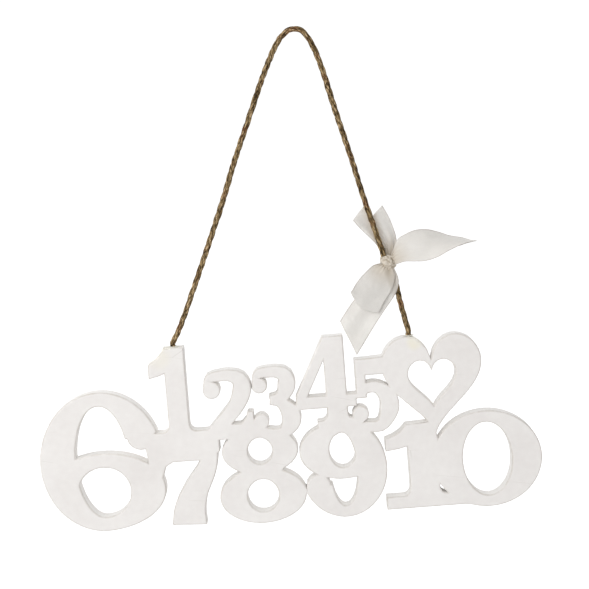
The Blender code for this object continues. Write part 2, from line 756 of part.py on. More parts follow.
def make_bow(surface):
    make_knot(surface)
    full = RIBBON_WIDTH / MM
    strip(
        "bow_tail_upper",
        [
            (0.0, 3.4, 2.0, 0.24 * full, 0, 0.1),
            (-0.8, 4.9, 8.4, 0.44 * full, 0, 0.5),
            (-2.4, 5.4, 13.5, 0.64 * full, 6, 1.0),
            (-5.2, 5.8, 20.5, 0.9 * full, 14, 1.0),
            (-10.2, 5.8, 29.0, full, 22, 0.8),
            (-14.6, 5.6, 35.6, full, 27, 0.6),
        ],
        1.6, 1.6 * MM, surface,
    )
    strip(
        "bow_loop_right",
        [
            (2.6, -1.6, 1.0, 0.22 * full, 88, 0.1),
            (7.6, -3.0, 5.6, 0.56 * full, 89, 0.5),
            (12.4, -4.4, 8.6, 0.79 * full, 90, 0.9),
            (24.0, -5.8, 12.8, 0.95 * full, 93, 1.0),
            (40.0, -5.2, 14.2, 0.8 * full, 99, 0.9),
            (56.0, -3.2, 15.8, 0.42 * full, 104, 0.5),
            (66.0, 0.0, 16.0, 0.18 * full, 104, 0.0),
            (56.0, 3.2, 15.6, 0.4 * full, 104, 0.5),
            (40.0, 5.2, 13.8, 0.76 * full, 99, 0.9),
            (24.0, 5.6, 12.3, 0.91 * full, 93, 1.0),
            (12.4, 4.0, 8.2, 0.75 * full, 90, 0.9),
            (7.6, 2.6, 5.2, 0.52 * full, 89, 0.4),
            (2.6, 1.4, 0.8, 0.2 * full, 88, 0.1),
        ],
        1.2, 0.9 * MM, surface,
    )
    strip(
        "bow_loop_left",
        [
            (-0.8, -3.0, -1.4, 0.22 * full, -20, 0.1),
            (-2.8, -6.0, -6.0, 0.44 * full, -22, 0.5),
            (-5.4, -8.5, -11.0, 0.74 * full, -24, 1.0),
            (-9.0, -9.6, -19.0, 0.98 * full, -28, 1.0),
            (-13.5, -8.6, -28.0, 1.04 * full, -31, 0.7),
            (-15.5, -6.6, -31.5, 1.06 * full, -32, 0.0),
            (-13.5, -4.8, -28.0, 1.04 * full, -31, 0.5),
            (-9.5, -4.2, -19.0, 0.92 * full, -28, 0.6),
            (-6.4, -4.2, -11.4, 0.6 * full, -24, 0.5),
            (-4.4, -4.0, -6.6, 0.36 * full, -20, 0.3),
            (-1.6, -1.9, -1.4, 0.2 * full, -20, 0.1),
        ],
        1.3, 1.0 * MM, surface,
    )
    strip(
        "bow_tail_lower",
        [
            (-2.4, 0.8, -2.6, 0.18 * full, -40, 0.1),
            (-4.8, 0.9, -8.0, 0.32 * full, -26, 0.4),
            (-9.0, 0.5, -18.0, 0.66 * full, -26, 1.0),
            (-14.5, 0.0, -32.0, 0.96 * full, -28, 1.0),
            (-20.0, 0.0, -44.0, full, -38, 0.9),
            (-24.5, 0.0, -54.5, full, -62, 0.6),
        ],
        1.5, 1.2 * MM, surface,
    )


def main():
    clear_scene()
    bpy.context.scene.unit_settings.scale_length = 1.0
    paint = material("white paint", BOARD_PAINT, 0.45)
    jute = material("jute twine", TWINE_COLOUR, 0.85)
    glue = material("wood glue", GLUE_COLOUR, 0.3)
    ribbon = material("sheer ribbon", RIBBON_COLOUR, 0.55)
    board = make_board(paint)
    drill_holes(board)
    make_glued_ends(jute, glue)
    make_twine(jute)
    make_bow(ribbon)


main()
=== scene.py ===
# A hanging wooden sign: white cut-out figures on a jute twine, with a sheer ribbon bow.
# Lengths are in metres in the sign's own frame: X to the right, Y to the back, Z up, zero at the twine's top.
import math
import random

import bmesh
import bpy
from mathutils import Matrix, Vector, noise
from mathutils.bvhtree import BVHTree
from mathutils.kdtree import KDTree


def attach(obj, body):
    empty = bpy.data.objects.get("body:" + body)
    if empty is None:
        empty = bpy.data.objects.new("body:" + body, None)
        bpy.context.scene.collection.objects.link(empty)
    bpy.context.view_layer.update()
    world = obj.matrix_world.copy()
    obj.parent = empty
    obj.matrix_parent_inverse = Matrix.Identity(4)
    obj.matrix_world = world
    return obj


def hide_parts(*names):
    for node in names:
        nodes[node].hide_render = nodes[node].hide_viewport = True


mm = 0.001
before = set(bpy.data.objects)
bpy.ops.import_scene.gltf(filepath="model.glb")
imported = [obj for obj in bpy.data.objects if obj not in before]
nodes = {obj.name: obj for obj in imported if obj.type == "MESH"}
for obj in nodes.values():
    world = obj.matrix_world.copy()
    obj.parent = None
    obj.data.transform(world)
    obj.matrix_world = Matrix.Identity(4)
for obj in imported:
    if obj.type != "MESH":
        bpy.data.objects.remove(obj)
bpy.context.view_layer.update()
print("frame loaded:", len(nodes), "nodes")


# Selection, modifiers and small mesh helpers


def pick(obj):
    if bpy.context.mode != "OBJECT":
        bpy.ops.object.mode_set(mode="OBJECT")
    bpy.ops.object.select_all(action="DESELECT")
    obj.select_set(True)
    bpy.context.view_layer.objects.active = obj


def addPiece(name, data, body, surface):
    piece = bpy.data.objects.new(name, data)
    bpy.context.scene.collection.objects.link(piece)
    piece.data.materials.clear()
    piece.data.materials.append(surface)
    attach(piece, body)
    return piece


def applyModifier(obj, kind, **settings):
    pick(obj)
    modifier = obj.modifiers.new(kind.title(), kind)
    for key, value in settings.items():
        setattr(modifier, key, value)
    bpy.ops.object.modifier_apply(modifier=modifier.name)


# Joins the corners that each face keeps of its own, drops the stored normals, and stays in edit mode
def weldFaces(obj):
    pick(obj)
    bpy.ops.object.mode_set(mode="EDIT")
    bpy.ops.mesh.select_all(action="SELECT")
    bpy.ops.mesh.remove_doubles(threshold=0.005 * mm)
    bpy.ops.mesh.customdata_custom_splitnormals_clear()


def finishMesh(mesh, name):
    data = bpy.data.meshes.new(name)
    mesh.to_mesh(data)
    mesh.free()
    return data


# Closes rings of points into a tube with flat ends
def skinTube(mesh, rings):
    sides = len(rings[0])
    for low, high in zip(rings, rings[1:]):
        for j in range(sides):
            k = (j + 1) % sides
            mesh.faces.new((low[j], low[k], high[k], high[j]))
    mesh.faces.new(list(reversed(rings[0])))
    mesh.faces.new(rings[-1])


# How far each point lies from the first one, along the line
def reachAlong(points):
    reach = [0.0]
    for p, q in zip(points, points[1:]):
        reach.append(reach[-1] + (q - p).length)
    return reach


# A smooth line through the points, with a point every spacing
def smoothRoute(points, spacing):
    fineSteps = 16
    points = [Vector(p) for p in points]
    ends = [2 * points[0] - points[1], *points, 2 * points[-1] - points[-2]]
    fine = []
    for a, b, c, d in zip(ends, ends[1:], ends[2:], ends[3:]):
        for step in range(fineSteps):
            t = step / fineSteps
            bend = (2 * a - 5 * b + 4 * c - d) * t * t + (3 * b - a - 3 * c + d) * t**3
            fine.append((2 * b + (c - a) * t + bend) / 2)
    fine.append(points[-1])
    reach = reachAlong(fine)
    count = max(2, round(reach[-1] / spacing))
    line, i = [], 0
    for n in range(count + 1):
        wanted = reach[-1] * n / count
        while i < len(fine) - 2 and reach[i + 1] < wanted:
            i += 1
        line.append(fine[i].lerp(fine[i + 1], (wanted - reach[i]) / (reach[i + 1] - reach[i])))
    return line


# Shader helpers: each call adds one node with its settings, and links or sets its inputs


def addNode(tree, kind, inputs=None, **settings):
    node = tree.nodes.new(kind)
    for key, value in settings.items():
        setattr(node, key, value)
    for key, value in (inputs or {}).items():
        if isinstance(value, bpy.types.NodeSocket):
            tree.links.new(value, node.inputs[key])
        else:
            node.inputs[key].default_value = value
    return node


def newMaterial(name):
    surface = bpy.data.materials.new(name)
    surface.use_nodes = True
    shader = surface.node_tree.nodes["Principled BSDF"]
    return surface, surface.node_tree, shader


def newGroup(name, inputs, outputs):
    group = bpy.data.node_groups.new(name, "ShaderNodeTree")
    for socket, kind, value in inputs:
        item = group.interface.new_socket(socket, in_out="INPUT", socket_type=kind)
        if value is not None:
            item.default_value = value
    for socket, kind in outputs:
        group.interface.new_socket(socket, in_out="OUTPUT", socket_type=kind)
    entry = group.nodes.new("NodeGroupInput")
    leave = group.nodes.new("NodeGroupOutput")
    return group, entry.outputs, leave.inputs


def useGroup(tree, group, inputs):
    return addNode(tree, "ShaderNodeGroup", inputs, node_tree=group).outputs


def mixColour(tree, share, first, second):
    return addNode(tree, "ShaderNodeMix", {0: share, 6: first, 7: second}, data_type="RGBA").outputs[2]


def mixNumber(tree, share, first, second):
    return addNode(tree, "ShaderNodeMix", {0: share, 2: first, 3: second}, data_type="FLOAT").outputs[0]


def calculate(tree, operation, *values, **settings):
    return addNode(tree, "ShaderNodeMath", dict(enumerate(values)), operation=operation, **settings).outputs[0]


# Turns low to high into start to end, and holds the ends beyond them
def ramp(tree, value, low=0.0, high=1.0, start=0.0, end=1.0, **settings):
    inputs = {"Value": value, "From Min": low, "From Max": high, "To Min": start, "To Max": end}
    return addNode(tree, "ShaderNodeMapRange", inputs, **settings).outputs["Result"]


def noiseAt(tree, place, scale, detail):
    inputs = {"Vector": place, "Scale": scale, "Detail": detail}
    return addNode(tree, "ShaderNodeTexNoise", inputs).outputs["Fac"]


def attributeOf(tree, name, output="Fac"):
    return addNode(tree, "ShaderNodeAttribute", attribute_name=name).outputs[output]


def objectPlace(tree):
    return addNode(tree, "ShaderNodeTexCoord").outputs["Object"]


def cameraRay(tree):
    return addNode(tree, "ShaderNodeLightPath").outputs["Is Camera Ray"]


def addBump(tree, shader, height, strength, distance):
    bump = addNode(tree, "ShaderNodeBump", {"Height": height, "Strength": strength, "Distance": distance})
    tree.links.new(bump.outputs["Normal"], shader.inputs["Normal"])


def colourOf(red, green, blue):
    def linear(value):
        value /= 255
        return value / 12.92 if value <= 0.04045 else ((value + 0.055) / 1.055) ** 2.4
    return linear(red), linear(green), linear(blue), 1.0


# Shared effects, each built once and placed in the finishes with its own values


def makeMottle():
    group, given, out = newGroup(
        "softMottle",
        [("Vector", "NodeSocketVector", None), ("Coarse", "NodeSocketFloat", 20.0),
         ("Fine", "NodeSocketFloat", 160.0)],
        [("Mask", "NodeSocketFloat")],
    )
    broad = noiseAt(group, given["Vector"], given["Coarse"], 3.0)
    close = noiseAt(group, given["Vector"], given["Fine"], 2.0)
    total = calculate(group, "MULTIPLY_ADD", broad, 0.65, calculate(group, "MULTIPLY", close, 0.35))
    group.links.new(ramp(group, total, 0.32, 0.68), out["Mask"])
    return group


# Noise that is stretched by a vector: brush marks, saw marks and fibres
def makeDrawnLines():
    group, given, out = newGroup(
        "drawnLines",
        [("Vector", "NodeSocketVector", None), ("Stretch", "NodeSocketVector", None),
         ("Contrast", "NodeSocketFloat", 1.0)],
        [("Lines", "NodeSocketFloat")],
    )
    drawn = addNode(
        group, "ShaderNodeVectorMath", {0: given["Vector"], 1: given["Stretch"]}, operation="MULTIPLY"
    ).outputs[0]
    grain = addNode(
        group, "ShaderNodeTexNoise", {"Vector": drawn, "Scale": 1.0, "Detail": 4.0, "Roughness": 0.6}
    ).outputs["Fac"]
    centred = calculate(group, "SUBTRACT", grain, 0.5)
    sharp = calculate(group, "MULTIPLY_ADD", centred, given["Contrast"], 0.5, use_clamp=True)
    group.links.new(sharp, out["Lines"])
    return group


# A plain weave over a flat vector in metres: Height stands up at the threads, Gap is one between them
def makeWeave():
    group, given, out = newGroup(
        "plainWeave",
        [("Vector", "NodeSocketVector", None), ("Threads", "NodeSocketFloat", 2400.0)],
        [("Height", "NodeSocketFloat"), ("Gap", "NodeSocketFloat")],
    )
    parts = addNode(group, "ShaderNodeSeparateXYZ", {"Vector": given["Vector"]})
    turn = calculate(group, "MULTIPLY", given["Threads"], math.pi)
    waves = []
    for axis in ("X", "Y"):
        angle = calculate(group, "MULTIPLY", parts.outputs[axis], turn)
        waves.append(calculate(group, "SINE", angle))
    over = calculate(group, "MULTIPLY", *waves)
    bare = [calculate(group, "ABSOLUTE", wave) for wave in waves]
    group.links.new(calculate(group, "MULTIPLY_ADD", over, 0.5, 0.5), out["Height"])
    group.links.new(ramp(group, calculate(group, "MAXIMUM", *bare), 0.55, 0.2), out["Gap"])
    return group


mottle, drawnLines, weave = makeMottle(), makeDrawnLines(), makeWeave()


def mottleAt(tree, place, coarse, fine):
    return useGroup(tree, mottle, {"Vector": place, "Coarse": coarse, "Fine": fine})["Mask"]


def linesAt(tree, place, stretch, contrast):
    return useGroup(tree, drawnLines, {"Vector": place, "Stretch": stretch, "Contrast": contrast})["Lines"]


# Finishes


paintLook = {
    "light": colourOf(242, 239, 236),
    "shade": colourOf(234, 230, 227),
    # the sawn walls' two colours are lighter than the face: painted light on the walls
    "wall": colourOf(239, 236, 233),
    "wallLight": colourOf(248, 246, 243),
    # darker, warmer colour on the rounded edges: edge wear and painted shade where the edges round over
    "wornAndShaded": colourOf(214, 208, 199),
    "scratch": colourOf(206, 201, 194),
    "glueTint": colourOf(241, 236, 219),
    "stains": [(-102 * mm, -248 * mm, 12 * mm, 0.5), (90.5 * mm, -236 * mm, 8 * mm, 0.9)],
}


def whitePaint():
    surface, tree, shader = newMaterial("white painted wood")
    place = objectPlace(tree)
    wall = attributeOf(tree, "sawnWall")
    cloud = mottleAt(tree, place, 22.0, 210.0)
    brush = linesAt(tree, place, (45.0, 45.0, 1500.0), 1.6)
    saw = linesAt(tree, place, (1100.0, 25.0, 1100.0), 2.2)
    face = mixColour(tree, cloud, paintLook["shade"], paintLook["light"])
    # The sawn walls are painted lighter than the face, as painted light; the saw marks vary them between the two
    # colours
    cut = mixColour(tree, saw, paintLook["wall"], paintLook["wallLight"])
    coat = mixColour(tree, wall, face, cut)

    flatPlace = addNode(tree, "ShaderNodeVectorMath", {0: place, 1: (1, 0.3, 1)}, operation="MULTIPLY").outputs[0]
    stains = []
    for x, z, reach, strength in paintLook["stains"]:
        far = addNode(tree, "ShaderNodeVectorMath", {0: flatPlace, 1: (x, 0, z)}, operation="DISTANCE")
        stains.append(ramp(
            tree, far.outputs["Value"], 0.4 * reach, reach, strength, 0.0, interpolation_type="SMOOTHSTEP"
        ))
    patchy = calculate(tree, "MULTIPLY_ADD", cloud, 0.6, 0.4)
    stain = calculate(tree, "MULTIPLY", calculate(tree, "MAXIMUM", *stains), patchy)
    stained = mixColour(tree, stain, coat, paintLook["glueTint"])

    # The rounded edges are darkened in patches: partly wear, partly painted shade where the edges round over
    wearAndShade = calculate(tree, "MULTIPLY", mottleAt(tree, place, 120.0, 900.0), 0.75)
    wearAndShade = calculate(tree, "MULTIPLY", wearAndShade, attributeOf(tree, "wornShadedEdge"))
    wornAndShaded = mixColour(tree, wearAndShade, stained, paintLook["wornAndShaded"])

    leaning = addNode(
        tree, "ShaderNodeMapping",
        {"Vector": place, "Rotation": (0, math.radians(24), 0), "Scale": (0.3, 1.0, 1.7)},
    ).outputs["Vector"]
    lines = addNode(
        tree, "ShaderNodeTexVoronoi", {"Vector": leaning, "Scale": 26.0, "Randomness": 1.0},
        feature="DISTANCE_TO_EDGE",
    ).outputs["Distance"]
    thin = ramp(tree, lines, high=0.006, start=1.0, end=0.0)
    few = ramp(tree, noiseAt(tree, place, 34.0, 0.0), 0.58, 0.68, end=0.45)
    scratch = calculate(tree, "MULTIPLY", thin, few)
    tree.links.new(mixColour(tree, scratch, wornAndShaded, paintLook["scratch"]), shader.inputs["Base Color"])

    rough = calculate(tree, "MULTIPLY_ADD", wall, 0.16, ramp(tree, cloud, start=0.42, end=0.55))
    tree.links.new(rough, shader.inputs["Roughness"])
    relief = calculate(tree, "MULTIPLY_ADD", scratch, -0.8, mixNumber(tree, wall, brush, saw))
    addBump(tree, shader, relief, 0.5, 0.08 * mm)
    shader.inputs["Specular IOR Level"].default_value = 0.35
    return surface


juteLook = {
    "dark": colourOf(40, 26, 8),
    "middle": colourOf(110, 86, 48),
    "light": colourOf(196, 170, 124),
    "red": colourOf(116, 70, 40),
    "pale": colourOf(216, 188, 148),
    # very dark brown: the jute's own dark flecks, and painted shade in the crevices between plies
    "darkFleckAndCreviceShade": colourOf(28, 17, 4),
}


def twistedJute():
    surface, tree, shader = newMaterial("twisted jute")
    along = attributeOf(tree, "fibreLine", "Vector")
    place = objectPlace(tree)
    fibres = linesAt(tree, along, (3200.0, 3200.0, 150.0), 2.6)
    streaks = linesAt(tree, along, (700.0, 700.0, 85.0), 4.2)
    flecks = linesAt(tree, along, (950.0, 950.0, 260.0), 4.5)
    low = mixColour(tree, fibres, juteLook["dark"], juteLook["middle"])
    high = mixColour(tree, fibres, juteLook["middle"], juteLook["light"])
    share = calculate(tree, "MULTIPLY", mottleAt(tree, place, 90.0, 420.0), 0.35)
    share = calculate(tree, "MULTIPLY_ADD", streaks, 0.65, share)
    strand = mixColour(tree, share, low, high)
    warm = ramp(tree, noiseAt(tree, place, 85.0, 1.0), 0.52, 0.68, end=0.7)
    sooty = ramp(tree, flecks, high=0.42, start=0.9, end=0.0)
    bright = ramp(tree, flecks, low=0.7, end=0.7)
    # The sunk sides of the plies, where they press together, are darkened as painted crevice shade; the dark and
    # pale flecks are the fibres' own tone
    for cover, colour in (
        (warm, "red"), (sooty, "darkFleckAndCreviceShade"), (bright, "pale"), (attributeOf(tree, "sunk"), "darkFleckAndCreviceShade"),
    ):
        strand = mixColour(tree, cover, strand, juteLook[colour])
    tree.links.new(strand, shader.inputs["Base Color"])
    tree.links.new(ramp(tree, fibres, start=0.95, end=0.78), shader.inputs["Roughness"])
    addBump(tree, shader, fibres, 0.8, 0.2 * mm)
    shader.inputs["Specular IOR Level"].default_value = 0.2
    return surface


def setGlue():
    surface, tree, shader = newMaterial("set glue")
    cloud = mottleAt(tree, objectPlace(tree), 300.0, 1500.0)
    coat = mixColour(tree, cloud, colourOf(236, 231, 217), colourOf(244, 242, 234))
    tree.links.new(coat, shader.inputs["Base Color"])
    tree.links.new(ramp(tree, cloud, start=0.22, end=0.4), shader.inputs["Roughness"])
    addBump(tree, shader, cloud, 0.4, 0.2 * mm)
    return surface


ribbonLook = {
    "light": colourOf(243, 240, 235),
    "shade": colourOf(231, 227, 221),
    "selvedge": colourOf(214, 209, 203),
    # darker, warmer tone toward the knot, also used as painted shade in the pleat valleys and beside the twine
    "gatheredAndShaded": colourOf(217, 206, 190),
    # dark brown for painted shade in the pleat valleys and knot folds, and where the twine runs close behind the
    # cloth
    "creaseShade": colourOf(150, 134, 108),
    "cover": 0.8,
    "thinning": 0.2,
    "heldCover": 0.92,
    "threads": 2600.0,
    "selvedgeWidth": 0.9 * mm,
}


def sheerRibbon():
    surface, tree, shader = newMaterial("sheer ribbon")
    halfWidth, selvedge = bow["ribbonWidth"] / 2 * mm, ribbonLook["selvedgeWidth"]
    flat = addNode(tree, "ShaderNodeUVMap", uv_map="ribbonFlat").outputs["UV"]
    gatherShade = attributeOf(tree, "gatheredAndShaded")
    cloth = useGroup(tree, weave, {"Vector": flat, "Threads": ribbonLook["threads"]})
    cloud = mottleAt(tree, objectPlace(tree), 60.0, 500.0)
    slub = linesAt(tree, flat, (1800.0, 120.0, 1.0), 1.4)
    across = addNode(tree, "ShaderNodeSeparateXYZ", {"Vector": flat}).outputs["X"]
    edge = ramp(tree, calculate(tree, "ABSOLUTE", across), halfWidth - selvedge, halfWidth - 0.5 * selvedge)
    body = mixColour(tree, cloud, ribbonLook["shade"], ribbonLook["light"])
    threads = mixColour(tree, slub, body, ribbonLook["light"])
    # The gathered mark darkens and warms the cloth toward the knot, and paints shade in the pleat valleys and
    # close behind the twine
    drawn = mixColour(tree, gatherShade, threads, ribbonLook["gatheredAndShaded"])
    edged = mixColour(tree, edge, drawn, ribbonLook["selvedge"])
    # Painted shade in the creases and folds, and darker where the twine runs close behind the cloth
    creaseShaded = mixColour(tree, attributeOf(tree, "creaseShade"), edged, ribbonLook["creaseShade"])
    tree.links.new(creaseShaded, shader.inputs["Base Color"])
    relief = calculate(tree, "MULTIPLY_ADD", slub, 0.4, cloth["Height"])
    addBump(tree, shader, relief, 0.5, 0.06 * mm)
    thin = calculate(tree, "MULTIPLY_ADD", cloth["Gap"], -ribbonLook["thinning"], ribbonLook["cover"])
    held = calculate(tree, "MAXIMUM", edge, gatherShade)
    tree.links.new(mixNumber(tree, held, thin, ribbonLook["heldCover"]), shader.inputs["Alpha"])
    shader.inputs["Roughness"].default_value = 0.6
    shader.inputs["Sheen Weight"].default_value = 0.25
    shader.inputs["Sheen Roughness"].default_value = 0.4
    shader.inputs["Specular IOR Level"].default_value = 0.3
    return surface


paint, jute, glue = whitePaint(), twistedJute(), setGlue()
print("finishes made")


# Camera, in front and a little above the board, and a pale studio


cameraPlace = {
    "x": 0.4 * mm, "back": 0.95, "z": -70 * mm, "pitch": 4.0, "sensor": 36, "lens": 77.46, "shiftY": -0.1438,
    "clip": (0.01, 50),
}


def addCamera():
    view = bpy.data.cameras.new("photo camera")
    view.sensor_width = cameraPlace["sensor"]
    view.lens = cameraPlace["lens"]
    view.shift_y = cameraPlace["shiftY"]
    view.clip_start, view.clip_end = cameraPlace["clip"]
    camera = bpy.data.objects.new("photo camera", view)
    bpy.context.scene.collection.objects.link(camera)
    camera.location = (cameraPlace["x"], -cameraPlace["back"], cameraPlace["z"])
    camera.rotation_euler = (math.radians(90 - cameraPlace["pitch"]), 0, 0)
    bpy.context.scene.camera = camera


studio = {
    "floorHeight": -0.62, "floorSize": 12.0, "floorGlow": 0.6, "fill": 0.62, "backdrop": 1.05,
    "aim": (0, 0, -0.22),
    "key": {"place": (-0.7, -1.7, 0.35), "size": 1.6, "power": 11.3},
    "top": {"place": (-0.6, -0.1, 0.22), "size": 0.7, "power": 2.0},
    "rear": {"place": (0.6, 1.6, 0.5), "size": 1.6, "power": 6.0},
}


def addStudio():
    world = bpy.data.worlds.new("pale studio")
    bpy.context.scene.world = world
    world.use_nodes = True
    tree = world.node_tree
    shade = tree.nodes["Background"]
    shade.inputs["Color"].default_value = (1, 1, 1, 1)
    strength = ramp(tree, cameraRay(tree), start=studio["fill"], end=studio["backdrop"])
    tree.links.new(strength, shade.inputs["Strength"])
    bpy.context.scene.view_settings.view_transform = "Standard"

    bpy.ops.mesh.primitive_plane_add(size=studio["floorSize"], location=(0, 0, studio["floorHeight"]))
    floor = bpy.context.active_object
    floor.name = "pale_floor"
    surface, tree, shader = newMaterial("pale floor")
    shader.inputs["Base Color"].default_value = (0.9, 0.9, 0.9, 1)
    shader.inputs["Roughness"].default_value = 0.9
    shader.inputs["Emission Color"].default_value = (1, 1, 1, 1)
    glow = calculate(tree, "MULTIPLY", cameraRay(tree), studio["floorGlow"])
    tree.links.new(glow, shader.inputs["Emission Strength"])
    floor.data.materials.append(surface)

    for name in ("key", "top", "rear"):
        lamp = bpy.data.lights.new(name + " light", "AREA")
        lamp.shape = "DISK"
        lamp.size = studio[name]["size"]
        lamp.energy = studio[name]["power"]
        light = bpy.data.objects.new(name + " light", lamp)
        bpy.context.scene.collection.objects.link(light)
        light.location = studio[name]["place"]
        aim = Vector(studio["aim"]) - light.location
        light.rotation_euler = aim.to_track_quat("-Z", "Y").to_euler()


addCamera()
addStudio()
print("camera and studio set")


# The twine: three plies twisted round one line, with stray fibres. Its slow drift and the settled stretch at each
# end are counted in points of the line. The hairs' and the glued ends' own lengths are in mm.


twine = {
    "diameter": 4.0 * mm,
    "length": 0.504,
    "plies": 3,
    "plyRadius": 1.42 * mm,
    "centreRadius": 0.82 * mm,
    "pitch": 25 * mm,
    "sides": 12,
    "spacing": 0.8 * mm,
    "wander": 0.42 * mm,
    "swell": 0.16,
    "swellLength": 0.009,
    "slowSwell": 0.14,
    "slowLength": 0.07,
    "slip": 0.45,
    "slipLength": 0.045,
    "fibrePitch": 0.016,
    "drift": 37,
    "settled": 40,
    "route": [
        (-0.09167, 0, -0.23691), (-0.0867, 0, -0.2266), (-0.0784, 0, -0.2043), (-0.0671, 0, -0.1710),
        (-0.0560, 0, -0.1376), (-0.0456, 0, -0.1038), (-0.0345, 0, -0.0704), (-0.0232, 0, -0.0370),
        (-0.0172, 0, -0.0212), (-0.0122, 0, -0.0110), (-0.0064, 0, -0.0040), (0, 0, -0.0014),
        (0.0063, 0, -0.0034), (0.0117, 0, -0.0099), (0.0166, 0, -0.0195), (0.0220, 0, -0.0341),
        (0.0326, 0, -0.0663), (0.0432, 0, -0.0987), (0.0540, 0, -0.1312), (0.06499, 0, -0.16338),
        (0.0692, 0, -0.1760), (0.0730, 0, -0.1842), (0.0768, 0, -0.1933), (0.0784, 0, -0.2001),
        (0.0804, 0, -0.2077), (0.0838, 0, -0.2190), (0.08639, 0, -0.22822),
    ],
}
hairs = {
    "count": 420, "steps": 5, "sides": 3, "clear": 8, "root": 1.75, "length": (2, 5), "thick": (0.04, 0.075),
    "along": 1.2, "out": (0.15, 0.6), "taper": 0.2, "bend": 0.4, "curl": 0.35, "press": 0.12,
}
gluedEnd = {"deep": 10.2, "rise": 1.2, "width": 0.98, "grooveTop": 3.5, "grooveRadius": 2.31, "tallest": 2.9}

# The way to the back, the tilted board's own way up, and where the twine leaves its top edge
toBack = Vector((0, 1, 0))
boardTilt = math.radians(4.4)
boardUp = Vector((-math.sin(boardTilt), 0, math.cos(boardTilt)))
exits = {
    "left": Vector((-91.4 * mm, 0.0, -240.4 * mm)),
    "right": Vector((86.66 * mm, 0.0, -231.71 * mm)),
}


# Twists the plies along the line. share(distance from the start, whole length) narrows the ends.
def twistPlies(mesh, line, share, seed):
    mesh.verts.layers.float_vector.new("fibreLine")
    sunk = mesh.verts.layers.float.new("sunk")
    fibreLine = mesh.verts.layers.float_vector["fibreLine"]
    reach = reachAlong(line)
    for ply in range(twine["plies"]):
        middles, shares = [], []
        for i, point in enumerate(line):
            before, after = line[max(0, i - 1)], line[min(len(line) - 1, i + 1)]
            tangent = (after - before).normalized()
            side = tangent.cross(toBack).normalized()
            slip = noise.noise(Vector((reach[i] / twine["slipLength"], seed, 3.1)))
            turn = 2 * math.pi * (reach[i] / twine["pitch"] + ply / twine["plies"] + twine["slip"] * slip)
            out = side * math.cos(turn) + toBack * math.sin(turn)
            width = share(reach[i], reach[-1])
            middles.append((point + out * twine["centreRadius"] * width, out))
            shares.append(width)
        rings = []
        for i, (middle, out) in enumerate(middles):
            before, after = middles[max(0, i - 1)][0], middles[min(len(middles) - 1, i + 1)][0]
            tangent = (after - before).normalized()
            out = (out - tangent * out.dot(tangent)).normalized()
            side = tangent.cross(out)
            swell = noise.noise(Vector((reach[i] / twine["swellLength"], 7.7 * ply, seed)))
            slowSwell = noise.noise(Vector((reach[i] / twine["slowLength"], 2.2, seed)))
            thick = 1 + twine["swell"] * swell
            thick += twine["slowSwell"] * slowSwell
            ring = []
            for j in range(twine["sides"]):
                angle = 2 * math.pi * j / twine["sides"]
                radius = twine["plyRadius"] * shares[i] * thick
                vert = mesh.verts.new(middle + (out * math.cos(angle) + side * math.sin(angle)) * radius)
                around = angle - 2 * math.pi * reach[i] / twine["fibrePitch"]
                vert[fibreLine] = (
                    twine["plyRadius"] * math.cos(around) + 5 * ply * mm,
                    twine["plyRadius"] * math.sin(around), reach[i] + seed,
                )
                # sunk marks the side of each ply that turns in towards the others, for painted crevice shade
                vert[sunk] = min(1.0, max(0.0, 0.5 - math.cos(angle)) * 1.5)
                ring.append(vert)
            rings.append(ring)
        skinTube(mesh, rings)


# One hair as a thin tube that leaves the twine and curls
def addFibre(mesh, root, out, along, length, thick, chance):
    fibreLine = mesh.verts.layers.float_vector["fibreLine"]
    bend = Vector([chance.uniform(-1, 1) for _ in range(3)]) * hairs["bend"]
    heading = along * chance.choice((-1, 1)) * hairs["along"] + out * chance.uniform(*hairs["out"])
    heading = heading.normalized()
    place, rings = root, []
    for step in range(hairs["steps"]):
        side = heading.orthogonal().normalized()
        other = heading.cross(side)
        width = thick * (1 - hairs["taper"] * step)
        ring = []
        for j in range(hairs["sides"]):
            angle = 2 * math.pi * j / hairs["sides"]
            vert = mesh.verts.new(place + (side * math.cos(angle) + other * math.sin(angle)) * width)
            vert[fibreLine] = (root.x + j * 0.1 * mm, root.z, root.y + step * mm)
            ring.append(vert)
        rings.append(ring)
        place = place + heading * length / (hairs["steps"] - 1)
        heading = (heading + bend * hairs["curl"] - out * hairs["press"] * step).normalized()
    skinTube(mesh, rings)


def finishTwine(mesh, name, body):
    bmesh.ops.recalc_face_normals(mesh, faces=mesh.faces)
    data = finishMesh(mesh, name)
    data.shade_smooth()
    return addPiece(name, data, body, jute)


# Full width, then rounded off inside a ball about the pivot, clear of the glued end below it
def roundedTip(distance, whole):
    ball = 2.24 * mm
    past = ball - min(distance, whole - distance)
    return 1.0 if past < 0 else max(0.05, min(1.0, math.sqrt(max(0.0, ball**2 - past**2)) / ball))


